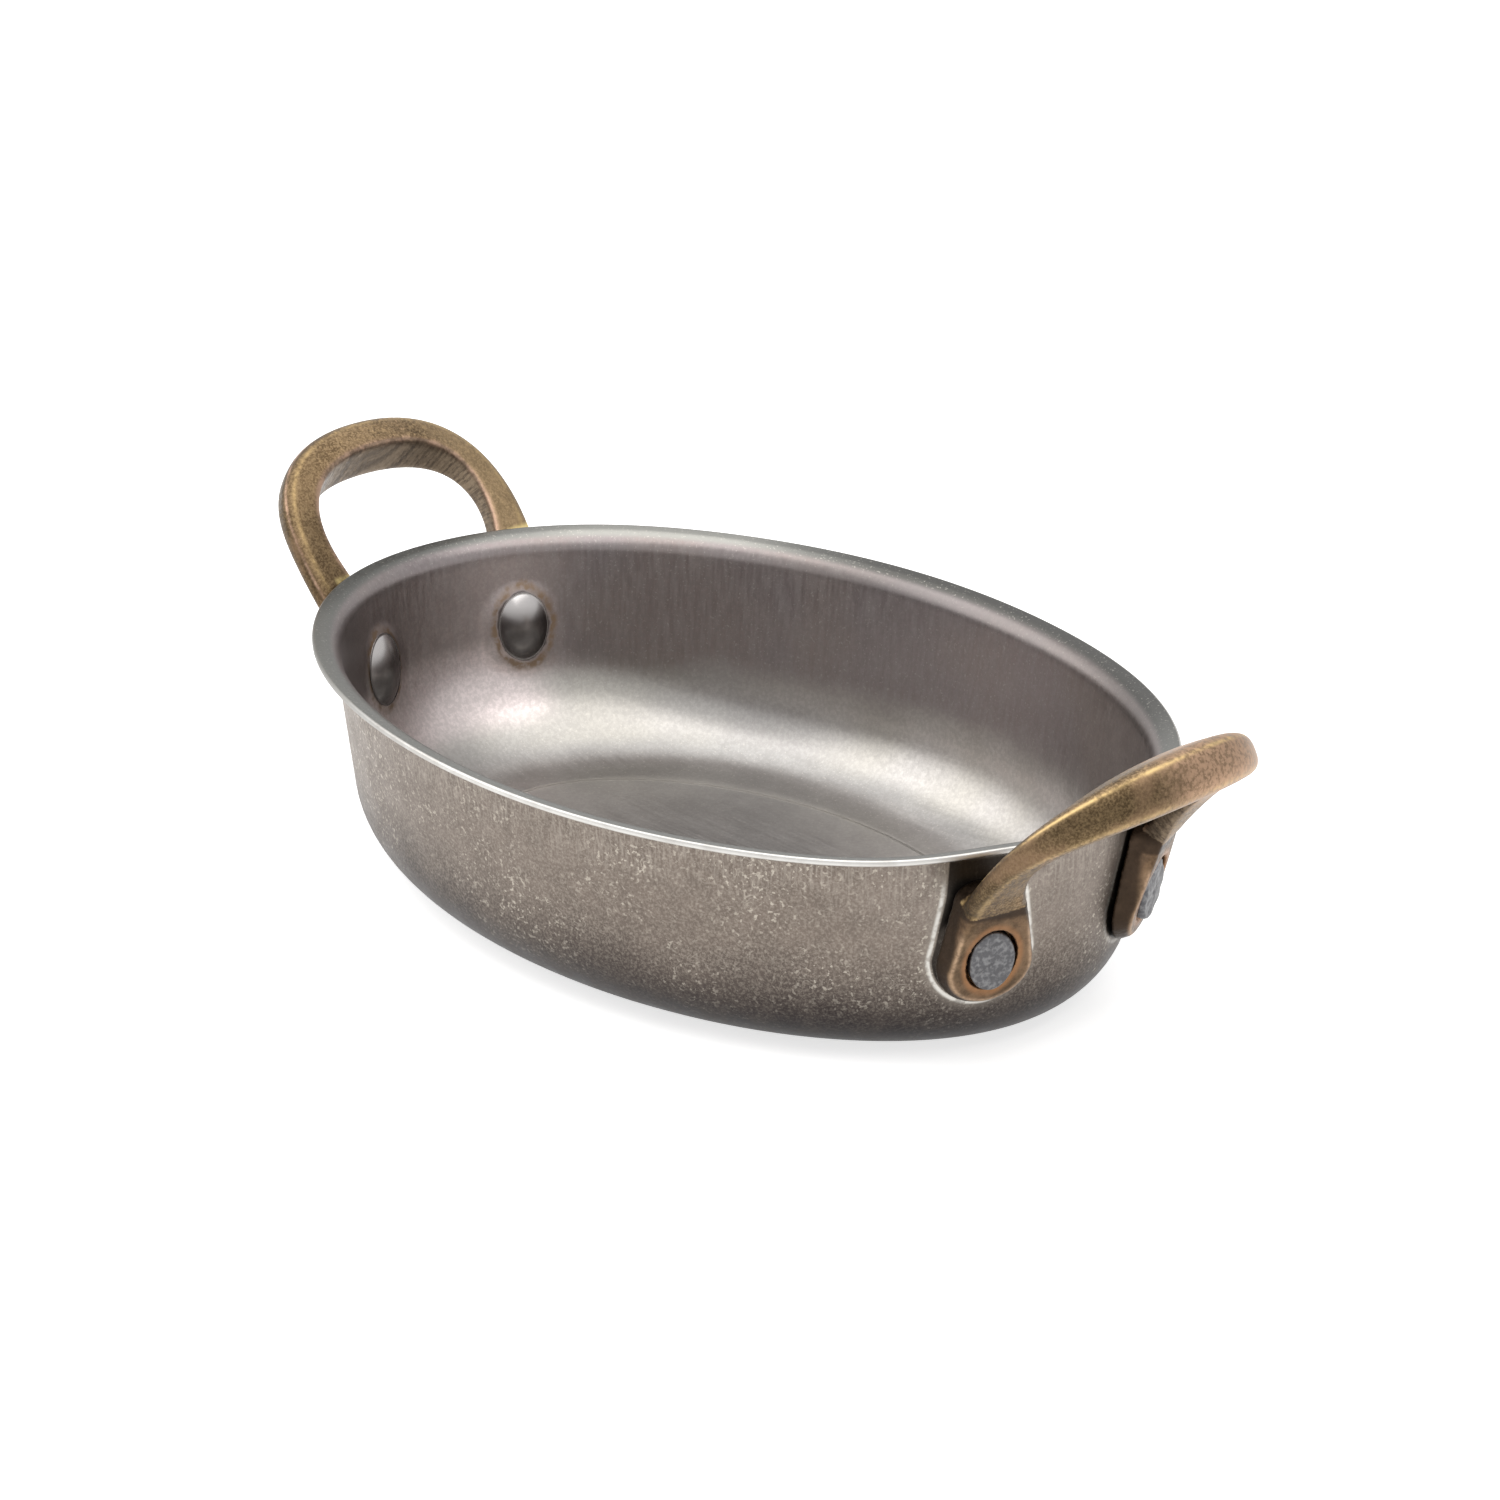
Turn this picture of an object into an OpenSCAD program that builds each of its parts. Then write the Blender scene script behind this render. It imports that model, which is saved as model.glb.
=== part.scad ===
// Small oval serving dish: a pressed steel pan with two cast brass loop handles,
// each held by two rivets. Millimetres. The pan stands on z = 0, its long axis is X,
// and the origin is the middle of the base.

/* [Pan] */
// Length over the lip, along X
rim_length = 150; // [120:1:220]
// Width over the lip, along Y
rim_width = 107.5; // [90:1:150]
// Height from the table to the top of the lip
pan_height = 35.2; // [32:0.2:44]
// Thickness of the steel sheet
sheet = 0.9; // [0.8:0.1:1.4]
// How far the wall leans outward
wall_draft = 7.5; // [4:0.5:10]
// Radius between wall and base, on the outside
corner_radius = 13.5; // [10:0.5:18]
// Straight width of the flared lip
lip_width = 2.7; // [1:0.1:3]
// Rise of the flared lip above level
lip_angle = 10; // [0:1:30]
// Radius under the lip, where the wall turns outward
lip_bend = 0.9; // [0.7:0.1:2]
// Height of the raised panel pressed into the inside of the floor
floor_step = 0.35; // [0.1:0.05:0.6]
// Width of the slope round the raised panel
floor_step_width = 1.6; // [0.8:0.1:3]
// Depth of the flat place that the front right pad presses into the rim
dent_depth = 2.4; // [0:0.1:3]
// Half-width of that flat place, along the rim
dent_width = 10; // [6:0.5:14]
// Place of that flat place: angle round the ellipse from the right end
dent_angle = -17; // [-30:1:0]

/* [Rivets] */
// Distance between the two rivets of a handle, across the dish
rivet_spacing = 29.8; // [26:0.2:36]
// Height of the rivets above the table
rivet_height = 19.8; // [18:0.1:22]
// Angle that each rivet turns away from the long axis
rivet_toe = 23.5; // [21:0.5:27]
// Diameter of the shank
shank_d = 6; // [5:0.2:7]
// Gap between shank and hole, on the radius
shank_gap = 0.1; // [0.05:0.05:0.2]
// Diameter of the domed head inside the pan
head_d = 10.7; // [9:0.1:12]
// Height of the domed head
head_h = 1.6; // [1.2:0.1:3]
// Diameter of the flat place pressed into the wall under the head
flat_d = 12; // [11:0.1:14]
// How far that flat place stands in from the middle of the curved wall
flat_depth = 0.6; // [0.5:0.05:0.8]
// Diameter of the hammered tail outside the pad
tail_d = 8.5; // [8:0.1:9.6]
// Height of the tail above its seat
tail_h = 1.8; // [1.2:0.1:2.4]
// Chamfer of the tail's edge
tail_edge = 0.4; // [0.2:0.1:0.8]

/* [Handles] */
// Turn of the right handle about the dish's long axis, as fitted by hand
right_turn = 2; // [-4:0.5:4]
// Gap between the pad and the curved wall at the rivet
pad_gap = 0.25; // [0.2:0.05:0.6]
// Thickness of a riveting pad at its round lower end
pad_thickness = 1.9; // [1.6:0.1:3]
// How much the pad's face leans away from the wall, so that it thickens upward
pad_lean = 9; // [4:0.5:12]
// How far the pad's edge draws in between its foot and its face
pad_taper = 1; // [0.4:0.1:1.4]
// Height of the pad's upright foot
pad_foot = 0.5; // [0.3:0.1:1]
// Radius of the pad's round lower end
pad_radius = 7.1; // [6.5:0.1:8]
// How far the middle of that round end lies below the rivet
pad_drop = 1.4; // [0:0.1:2]
// Height of the pad above its rivet
pad_rise = 11.5; // [8:0.5:12]
// Half-width of the pad's foot at its upper end
pad_neck = 5.1; // [4.8:0.1:6.4]
// Gap between the rivet's tail and the side of its sunk seat, on the radius
seat_gap = 0.4; // [0.3:0.05:0.8]
// Height of that seat above the wall side of the pad
seat_level = 1.9; // [1.2:0.1:2.4]
// How far the leg's root stands out from the wall at the rivet, along X
root_out = 3.95; // [3.6:0.05:4.6]
// Height of the leg's root above the rivet
root_up = 8.3; // [7:0.1:9]
// How far the leg's root stands aside of the rivet, away from the handle's middle
root_side = 2.1; // [1:0.1:3]
// How far the loop's shoulder point stands aside of the rivet
loop_side = 5.3; // [1:0.1:6]
// How far the control point that rounds the loop's end stands aside of the rivet
loop_swell = 7.5; // [2:0.1:12]
// Length of the straight part of each leg
leg_length = 10; // [5:0.5:18]
// Length of the handle along its own slope
loop_length = 27.5; // [25:0.1:36]
// Slope of the leg where it leaves the pad
root_slope = 67.5; // [64:0.5:78]
// Slope that the handle reaches at its outer end
end_slope = 38.5; // [35:0.5:50]
// Length over which the leg bends outward
bend_length = 9; // [6:0.5:16]
// Bar width at the leg's root
root_width = 9; // [7:0.1:9.6]
// Bar width halfway
middle_width = 6.1; // [5:0.1:8]
// Bar width at the end of the loop
end_width = 6.7; // [6:0.1:9]
// Bar thickness at the leg's root
root_depth = 3.6; // [3.2:0.1:4.5]
// Bar thickness halfway
middle_depth = 4; // [3.6:0.1:5]
// Bar thickness at the end of the loop
end_depth = 7.5; // [5:0.1:8.4]
// Tilt of the bar's section at the end of the loop
bar_tilt = -12; // [-25:1:10]
// Squareness of the bar's section on the side of the opening, which is flat
inner_square = 7; // [3:0.5:9]
// Squareness of the bar's section on the outside
outer_square = 2.8; // [2:0.1:5]

/* [Hidden] */

// Facet counts: stations round the pan, steps in its corner, upper wall and lip bends,
// stations along a handle and points round its bar
pan_stations = 96;
corner_steps = 9;
wall_steps = 3;
bend_steps = 4;
bar_stations = 56;
bar_points = 24;
round_fn = 64;

// Halvings in the search for an angle
halvings = 30;

// One overrun for every cut
over = 3;

// Plan of the pan

half_length = rim_length / 2;
half_width = rim_width / 2;
quarter = 90;
full = 360;

// Point of the lip's edge at angle a round the ellipse
function rim_point(a) = [half_length * cos(a), half_width * sin(a)];

// Outward direction of the plan at angle a
function rim_normal(a) =
    let (v = [half_width * cos(a), half_length * sin(a)]) v / norm(v);

// Point at angle a, moved inward from the lip's edge
function plan_point(a, inset) = rim_point(a) - inset * rim_normal(a);

// Angle at which the inset plan reaches the given distance across the dish
function angle_at(across, inset, low = 0, high = quarter, left = halvings) =
    left == 0 ? (low + high) / 2
    : let (middle = (low + high) / 2)
      plan_point(middle, inset).y > across
      ? angle_at(across, inset, low, middle, left - 1)
      : angle_at(across, inset, middle, high, left - 1);

// The dent fades in from above the rivets to the lip
dent_floor_share = 0.76;
dent_floor = dent_floor_share * pan_height;
function fade(z) =
    let (f = min(1, max(0, (z - dent_floor) / (pan_height - dent_floor)))) f * f * (3 - 2 * f);
function dent(a, z) =
    let (d = norm(rim_point(a) - rim_point(dent_angle)) / dent_width)
    dent_depth * fade(z) * exp(-d * d / 2);

// Profile of the pan as [distance outward from the lip's edge, height]

lip_along = [cos(lip_angle), sin(lip_angle)];
lip_up = [-sin(lip_angle), cos(lip_angle)];
wall_out = [cos(wall_draft), -sin(wall_draft)];
lip_low = [0, pan_height - sheet * lip_up.y];
bend_centre = lip_low - lip_width * lip_along - lip_bend * lip_up;
wall_top = bend_centre - lip_bend * wall_out;
corner_inset = -wall_top.x + (wall_top.y - corner_radius * (1 - sin(wall_draft))) * tan(wall_draft)
    + corner_radius * cos(wall_draft);
corner_centre = [-corner_inset, corner_radius];

function arc(centre, radius, from, to, steps) =
    [for (i = [0 : steps])
        let (a = from + (to - from) * i / steps) centre + radius * [cos(a), sin(a)]];

// Distance of the wall's outer face inside the lip's edge, at height z
function wall_inset(z) = -wall_top.x + (wall_top.y - z) * tan(wall_draft);

// Upper wall, from the dent's floor to just under the bend
wall_heights = [for (i = [0 : wall_steps - 1])
    dent_floor + (wall_top.y - dent_floor) * i / wall_steps];

outside = concat(
    arc(corner_centre, corner_radius, -quarter, -wall_draft, corner_steps),
    [for (z = wall_heights) [-wall_inset(z), z]],
    arc(bend_centre, lip_bend, 2 * quarter - wall_draft, quarter + lip_angle, bend_steps),
    [lip_low]);
inside = concat(
    [lip_low + sheet * lip_up],
    arc(bend_centre, lip_bend + sheet, quarter + lip_angle, 2 * quarter - wall_draft, bend_steps),
    [for (i = [1 : wall_steps]) let (z = wall_heights[wall_steps - i])
        [-wall_inset(z), z] - sheet * wall_out],
    arc(corner_centre, corner_radius - sheet, -wall_draft, -quarter, corner_steps),
    [[-corner_inset - floor_step_width, sheet + floor_step]]);
profile = concat(outside, inside);

// Solid swept from rings of points, closed by a flat face at each end
module swept(rings) {
    count = len(rings[0]);
    last = len(rings) - 1;
    points = [for (ring = rings) for (p = ring) p];
    sides = [for (i = [0 : last - 1]) for (j = [0 : count - 1])
        let (k = (j + 1) % count, low = i * count, high = low + count)
        for (face = [[low + j, high + j, high + k], [low + j, high + k, low + k]]) face];
    bottom = [[for (j = [0 : count - 1]) j]];
    top = [[for (j = [count - 1 : -1 : 0]) last * count + j]];
    polyhedron(points, concat(sides, bottom, top), convexity = 8);
}

module pan_shell() {
    swept([for (p = profile)
        [for (j = [0 : pan_stations - 1])
            let (a = full * j / pan_stations, q = plan_point(a, dent(a, p.y) - p.x))
            [q.x, q.y, p.y]]]);
}

// Places of the rivets

row_y = rivet_spacing / 2;
wall_at_rivet = wall_inset(rivet_height);
row_x = plan_point(angle_at(row_y, wall_at_rivet), wall_at_rivet).x;

// Start and guide points of a handle's middle line, measured from its rivet
root_x = row_x + root_out;
root_y = row_y + root_side;
root_z = rivet_height + root_up;
loop_y = row_y + loop_side;
loop_round = row_y + loop_swell;

// Moves a handle drawn at the right end to its own end, with the right one's turn
module at_end(end) {
    rotate([0, 0, end > 0 ? 0 : 2 * quarter])
        translate([0, 0, rivet_height])
            rotate([end > 0 ? right_turn : 0, 0, 0])
                translate([0, 0, -rivet_height]) children();
}

// Moves its children from the pad's seat plane at a rivet into the dish's frame:
// they are drawn with +Z out along the rivet and +X down the wall
module at_rivet(end, row) {
    at_end(end)
        translate([row_x, row * row_y, rivet_height])
            rotate([0, 0, row * rivet_toe])
                rotate([0, quarter + wall_draft, 0])
                    translate([0, 0, pad_gap]) children();
}

module at_all_rivets() {
    for (end = [-1, 1]) for (row = [-1, 1]) at_rivet(end, row) children();
}

// Depth of the head's bearing plane behind the pad's seat plane
grip = pad_gap + sheet + flat_depth;
hole_d = shank_d + 2 * shank_gap;
seat_d = tail_d + 2 * seat_gap;

module pan() {
    color("rosybrown")
    difference() {
        union() {
            pan_shell();
            at_all_rivets() translate([0, 0, -grip]) cylinder(d = flat_d, h = grip, $fn = round_fn);
        }
        at_all_rivets() translate([0, 0, -grip - over])
            cylinder(d = hole_d, h = grip + 2 * over, $fn = round_fn);
    }
}

module rivet() {
    dome_radius = (head_d * head_d / 4 + head_h * head_h) / (2 * head_h);
    color("dimgray") {
        // Head: a slice of a sphere
        intersection() {
            translate([0, 0, -grip + dome_radius - head_h]) sphere(r = dome_radius, $fn = round_fn);
            translate([0, 0, -grip - head_h]) cylinder(d = head_d, h = head_h, $fn = round_fn);
        }
        // Shank
        translate([0, 0, -grip - head_h / 2])
            cylinder(d = shank_d, h = head_h / 2 + grip + seat_level + tail_edge, $fn = round_fn);
        // Tail, spread flat in the pad's seat
        translate([0, 0, seat_level]) rotate_extrude($fn = round_fn)
            polygon([[0, 0], [tail_d / 2, 0], [tail_d / 2, tail_h - tail_edge],
                [tail_d / 2 - tail_edge, tail_h], [0, tail_h]]);
    }
}

// Handle: one half is a curve in its own slope plane, mirrored at the middle

function bezier(t, a, b, c, d) =
    pow(1 - t, 3) * a + 3 * pow(1 - t, 2) * t * b + 3 * (1 - t) * t * t * c + pow(t, 3) * d;

function slope(s) = end_slope + (root_slope - end_slope) * exp(-s / bend_length);

// Side view of the handle's middle line, as [distance along it, X, Z]
side_steps = 80;
side_step = loop_length / side_steps;
side_view = [for (s = 0, x = root_x, z = root_z; s <= loop_length + side_step;
    x = x + side_step * cos(slope(s + side_step / 2)),
    z = z + side_step * sin(slope(s + side_step / 2)), s = s + side_step) [s, x, z]];
side_x = [for (p = side_view) [p[0], p[1]]];
side_z = [for (p = side_view) [p[0], p[2]]];

// Share of the way from a leg's root (0) to the middle of the loop (1)
function along(u) = bezier(u, 0, leg_length, loop_length, loop_length);
function across(u) = bezier(u, root_y, loop_y, loop_round, 0);

// Point of the middle line; m runs from -1 at the front root to 1 at the rear root
function bar_point(m) =
    let (u = 1 - abs(m), s = along(u))
    [lookup(s, side_x), sign(m) * across(u), lookup(s, side_z)];

function unit(v) = v / norm(v);
function three_way(sizes, w) = sizes[0] * (1 - w) * (1 - 2 * w) + 4 * sizes[1] * w * (1 - w)
    + sizes[2] * w * (2 * w - 1);
function rounded(c, square) = sign(c) * pow(abs(c), 2 / square);

// The section turns with the pads at its roots; this is how far up that turn reaches
turn_share = 0.35;
// Half the span over which the bar's direction is measured
probe_share = 0.01;
// How much of the section is left at a leg's very end, where its shoulder is rounded off
shoulder_share = 0.8;

function bar_ring(m) =
    let (
        u = 1 - abs(m),
        s = along(u),
        w = s / loop_length,
        middle = bar_point(m),
        ahead = unit(bar_point(min(1, m + probe_share)) - bar_point(max(-1, m - probe_share))),
        tilt = slope(s) + bar_tilt * w,
        turn = sign(m) * rivet_toe * pow(max(0, 1 - w / turn_share), 2),
        up = [-sin(tilt) * cos(turn), -sin(tilt) * sin(turn), cos(tilt)],
        sideways = unit(cross(up, ahead)),
        above = cross(ahead, sideways),
        left = u > 0 ? 1 : shoulder_share,
        half_w = left * three_way([root_width, middle_width, end_width], w) / 2,
        half_d = left * three_way([root_depth, middle_depth, end_depth], w) / 2)
    [for (j = [0 : bar_points - 1])
        let (a = full * j / bar_points, square = cos(a) > 0 ? inner_square : outer_square)
        middle + half_w * rounded(cos(a), square) * sideways
            + half_d * rounded(sin(a), square) * above];

module bar() {
    swept([for (i = [0 : bar_stations]) bar_ring(-1 + 2 * i / bar_stations)]);
}

module pad_outline(draw_in) {
    translate([pad_drop, 0]) circle(r = pad_radius - draw_in, $fn = round_fn);
    polygon([[pad_drop, draw_in - pad_radius], [pad_drop, pad_radius - draw_in],
        [-pad_rise, pad_neck - draw_in], [-pad_rise, draw_in - pad_neck]]);
}

// Wedge between an upright foot on the wall and a smaller face that leans outward
module pad() {
    hull() {
        linear_extrude(pad_foot) pad_outline(0);
        translate([pad_drop + pad_radius, 0, pad_thickness]) rotate([0, pad_lean, 0])
            translate([-pad_drop - pad_radius, 0, -pad_foot])
                linear_extrude(pad_foot) pad_outline(pad_taper);
    }
}

module handle(end) {
    color("darkgoldenrod")
    difference() {
        union() {
            at_end(end) bar();
            for (row = [-1, 1]) at_rivet(end, row) pad();
        }
        for (row = [-1, 1]) at_rivet(end, row) {
            translate([0, 0, -over]) cylinder(d = hole_d, h = seat_level + 2 * over, $fn = round_fn);
            translate([0, 0, seat_level]) cylinder(d = seat_d, h = 2 * over, $fn = round_fn);
        }
    }
}

module left_handle() { handle(-1); }
module right_handle() { handle(1); }
module left_front_rivet() { at_rivet(-1, 1) rivet(); }
module left_rear_rivet() { at_rivet(-1, -1) rivet(); }
module right_front_rivet() { at_rivet(1, -1) rivet(); }
module right_rear_rivet() { at_rivet(1, 1) rivet(); }

pan();
left_handle();
right_handle();
left_front_rivet();
left_rear_rivet();
right_front_rivet();
right_rear_rivet();
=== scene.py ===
"""Looks of the small oval serving dish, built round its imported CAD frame."""
import math

import bmesh
import bpy
import numpy as np
from mathutils import Matrix, Vector


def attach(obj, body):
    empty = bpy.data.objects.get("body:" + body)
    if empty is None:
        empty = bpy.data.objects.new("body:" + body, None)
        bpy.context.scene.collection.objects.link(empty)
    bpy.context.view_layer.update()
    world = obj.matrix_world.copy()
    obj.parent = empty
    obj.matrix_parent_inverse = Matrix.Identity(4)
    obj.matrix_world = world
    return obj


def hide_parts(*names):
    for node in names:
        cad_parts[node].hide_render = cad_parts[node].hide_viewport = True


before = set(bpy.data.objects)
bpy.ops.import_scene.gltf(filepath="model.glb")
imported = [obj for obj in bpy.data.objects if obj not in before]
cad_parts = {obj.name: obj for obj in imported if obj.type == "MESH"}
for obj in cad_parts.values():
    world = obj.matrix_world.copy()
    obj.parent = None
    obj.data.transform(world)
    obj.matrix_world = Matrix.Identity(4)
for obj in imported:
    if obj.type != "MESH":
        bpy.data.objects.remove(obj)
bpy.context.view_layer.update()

MM = 0.001

# ---------------------------------------------------------------- camera

AZIMUTH, ELEVATION, ROLL = (math.radians(a) for a in (46.44, 22.85, 0.97))
DISTANCE, AIM_HEIGHT = 675.73 * MM, 17.6 * MM
AIM_RIGHT, AIM_UP = 2.52 * MM, 5.48 * MM
SENSOR, LENS = 36.0, 108.0
CLIP_NEAR, CLIP_FAR = 0.01, 20

back = Vector((math.sin(AZIMUTH) * math.cos(ELEVATION),
               -math.cos(AZIMUTH) * math.cos(ELEVATION), math.sin(ELEVATION)))
level = Vector((math.cos(AZIMUTH), math.sin(AZIMUTH), 0))
above = back.cross(level)
cam_x = level * math.cos(ROLL) + above * math.sin(ROLL)
cam_y = above * math.cos(ROLL) - level * math.sin(ROLL)
cam = bpy.data.objects.new("camera", bpy.data.cameras.new("camera"))
cam.data.sensor_width = SENSOR
cam.data.lens = LENS
cam.data.clip_start, cam.data.clip_end = CLIP_NEAR, CLIP_FAR
pose = Matrix((cam_x, cam_y, back)).transposed().to_4x4()
pose.translation = (Vector((0, 0, AIM_HEIGHT)) + back * DISTANCE
                    + cam_x * AIM_RIGHT + cam_y * AIM_UP)
cam.matrix_world = pose
bpy.context.collection.objects.link(cam)
bpy.context.scene.camera = cam
bpy.context.scene.view_settings.view_transform = "Standard"

# ---------------------------------------------------------------- sizes

# All in mm, and down to the bar's section as in the CAD source.
# Pan: half length and width of the lip, height; sheet, draft and bottom corner; width, slope
# and bend of the lip; height, width and start of the step round the floor; depth, width, place
# and lower end of the lip's dent
HALF_X, HALF_Y, PAN_H = 75.0, 53.75, 35.2
SHEET, DRAFT, CORNER_R = 0.9, math.radians(7.5), 13.5
LIP_W, LIP_A, LIP_BEND = 2.7, math.radians(10), 0.9
STEP_H, STEP_W, STEP_FROM = 0.35, 1.6, 0.3
DENT_D, DENT_W, DENT_A, DENT_Z = 2.4, 10.0, math.radians(-17), 0.76 * PAN_H
# Rivets: place and direction; shank, head and tail; depth of the flats pressed into the wall;
# roll of the right handle with its rivets
RIVET_Y, RIVET_Z, TOE = 14.9, 19.8, math.radians(23.5)
SHANK_R, HEAD_R, HEAD_H = 3.0, 5.35, 1.6
TAIL_R, TAIL_H = 4.25, 1.8
FLAT_D = 0.6
RIGHT_TURN = math.radians(2)
# Pads: gap to the wall, thickness, lean, taper and upright foot; outline; the tail's seat;
# clearance of the rivet's hole
PAD_GAP, PAD_T, PAD_LEAN, PAD_TAPER, PAD_FOOT = 0.25, 1.9, math.radians(9), 1.0, 0.5
PAD_R, PAD_DROP, PAD_RISE, PAD_NECK = 7.1, 1.4, 11.5, 5.1
SEAT_GAP, SEAT_Z, HOLE_GAP = 0.4, 1.9, 0.1
GRIP = PAD_GAP + SHEET + FLAT_D
# Bar: where it leaves the pad, how it swells, its legs and slope, and its section
ROOT_OUT, ROOT_UP, ROOT_SIDE, LOOP_SIDE, LOOP_SWELL = 3.95, 8.3, 2.1, 5.3, 7.5
LEG, LOOP, SLOPE_0, SLOPE_1, BEND = 10.0, 27.5, 67.5, 38.5, 9.0
WIDTHS, DEPTHS, TILT = (9.0, 6.1, 6.7), (3.6, 4.0, 7.5), -12.0
INNER_SQUARE, OUTER_SQUARE = 7.0, 2.8

# From here on of the scene alone.
# The inside of the photographed sheet is rounder than the CAD's even sheet: radius of the
# bend inside the lip, how much its bottom corner grows at the sides and more at the ends,
# and how much more at the right than at the left. The corner is tighter at the back left:
# where in radians, how wide, and how much
LIP_INNER, SIDE_ROUND, END_ROUND, ROUND_LEAN = 3.4, 2.0, 8.0, 1.0
TIGHT_AT, TIGHT_WIDE, TIGHT_BY = 2.15, 0.45, 4.0
# Radius of the lip's raw edge, and the groove in front of the floor's step: depth, place, width
EDGE_R = 0.34
GROOVE_D, GROOVE_AT, GROOVE_W = 0.11, 0.5, 0.6
# The rim of a hand-finished dish isn't quite true: height of its waves and where they begin
WAVE, WAVE_FROM, WAVE_RISE = 0.10, 20, 15
# Wall pressed flat round a rivet: full up to one radius, gone at the next, inside and outside
PRESS_IN, PRESS_OUT, PRESS_REACH, PRESS_DEPTH, BOSS_GAP = (5.2, 8.4), (5.6, 7.0), 9, 6, 0.02
# How far the hammered heads sit above their shanks
HEAD_UP = 0.6
# No hammered rivet is quite round: width and height of each one's head and tail, by row
# along the left and the right end, as shares of the CAD's round ones
RIVET_SHARES = {(-1, "front"): (0.92, 1.10), (-1, "rear"): (0.78, 1.06),
                (1, "front"): (0.80, 1.14), (1, "rear"): (0.95, 1.12)}

# ---------------------------------------------------------------- fineness of the meshes

# Stations round the pan, how much closer they stand near a rivet, and over what angle
PAN_STATIONS, CROWD, CROWD_WIDTH, ANGLE_TABLE = 620, 2.2, 0.13, 8001
OUTER_ROWS, INNER_ROWS, FLOOR_ROWS, FLOOR_BAND = 44, 42, 15, 4.2
OUTER_CORNER, INNER_CORNER, OUTER_BEND, INNER_BEND, EDGE_STEPS = 18, 24, 7, 14, 4
# Rings that close floor and base, as shares of the last ring
SHRINK = (0.86, 0.72, 0.58, 0.44, 0.30, 0.16, 0.07)
BAR_STEPS, BAR_AROUND, SIDE_POINTS = 150, 64, 161
PAD_STEPS, PAD_TOP_STEPS, DISC_AROUND, RIVET_AROUND, DOME_ROWS = 48, 9, 72, 88, 15
VOXEL, CAST_SMOOTHING, ROOT_SMOOTHING, SMOOTHING = 0.24, 5, 28, 0.5
# The rivets' random unevenness is drawn from seeds round this one
FIRST_SEED = 11


def normal_at(a):
    v = np.stack([HALF_Y * np.cos(a), HALF_X * np.sin(a)], -1)
    return v / np.linalg.norm(v, axis=-1, keepdims=True)


def plan(a, inset):
    """Point at angle a round the dish, moved inward from the lip's edge."""
    edge = np.stack([HALF_X * np.cos(a), HALF_Y * np.sin(a)], -1)
    return edge - np.asarray(inset)[..., None] * normal_at(a)


lip_along = np.array([math.cos(LIP_A), math.sin(LIP_A)])
lip_up = np.array([-math.sin(LIP_A), math.cos(LIP_A)])
wall_out = np.array([math.cos(DRAFT), -math.sin(DRAFT)])
lip_low = np.array([0, PAN_H - SHEET * lip_up[1]])
bend_c = lip_low - LIP_W * lip_along - LIP_BEND * lip_up
wall_top = bend_c - LIP_BEND * wall_out


def wall_inset(z):
    return -wall_top[0] + (wall_top[1] - z) * math.tan(DRAFT)


corner_low = CORNER_R * (1 - math.sin(DRAFT))
corner_inset = wall_inset(corner_low) + CORNER_R * math.cos(DRAFT)
corner_c = np.array([-corner_inset, CORNER_R])


def rivet_x(halvings=40):
    """How far out the wall stands at the rivets."""
    low, high = 0.0, math.pi / 2
    inset = wall_inset(RIVET_Z)
    for _ in range(halvings):
        mid = (low + high) / 2
        if plan(np.array(mid), inset)[1] > RIVET_Y:
            high = mid
        else:
            low = mid
    return float(plan(np.array(low), inset)[0])


RIVET_X = rivet_x()


def rot_x(a):
    return np.array([[1, 0, 0], [0, math.cos(a), -math.sin(a)], [0, math.sin(a), math.cos(a)]])


def rot_y(a):
    return np.array([[math.cos(a), 0, math.sin(a)], [0, 1, 0], [-math.sin(a), 0, math.cos(a)]])


def rot_z(a):
    return np.array([[math.cos(a), -math.sin(a), 0], [math.sin(a), math.cos(a), 0], [0, 0, 1]])


def end_turn(end):
    """Turn from the right end, where all is drawn, to an end: 1 is right, -1 is left."""
    return rot_x(RIGHT_TURN) if end > 0 else rot_z(math.pi)


def at_end(points, end):
    pivot = np.array([0, 0, RIVET_Z])
    return (np.asarray(points) - pivot) @ end_turn(end).T + pivot


def rivet_frame(end, row):
    """Rotation and origin of the pad's seat plane: +Z out along the rivet, +X down the wall."""
    spin = rot_z(row * TOE) @ rot_y(math.pi / 2 + DRAFT)
    origin = np.array([RIVET_X, row * RIVET_Y, RIVET_Z]) + spin @ np.array([0, 0, PAD_GAP])
    return end_turn(end) @ spin, at_end(origin, end)


def side_of(end, row):
    return "front" if row == -end else "rear"


def smooth(x):
    x = np.clip(x, 0, 1)
    return x * x * (3 - 2 * x)


def bell(value, middle, width):
    return np.exp(-((value - middle) / width) ** 2)


def on_circle(a):
    return np.stack([np.cos(a), np.sin(a)], -1)


def whole_turn(count):
    return np.linspace(0, 2 * math.pi, count, endpoint=False)


def arc(centre, radius, start, stop, steps):
    return centre + radius * on_circle(np.radians(np.linspace(start, stop, steps + 1)))


def mesh_object(name, verts, faces, attributes=None):
    mesh = bpy.data.meshes.new(name)
    mesh.from_pydata((np.asarray(verts) * MM).tolist(), [], faces)
    mesh.validate()
    mesh.update()
    obj = bpy.data.objects.new(name, mesh)
    finish_mesh(obj, attributes or {})
    bpy.context.collection.objects.link(obj)
    return obj


def finish_mesh(obj, attributes):
    for key, values in attributes.items():
        layer = obj.data.attributes.new(key, "FLOAT", "POINT")
        layer.data.foreach_set("value", np.asarray(values, "f"))
    obj.data.polygons.foreach_set("use_smooth", [True] * len(obj.data.polygons))


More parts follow.
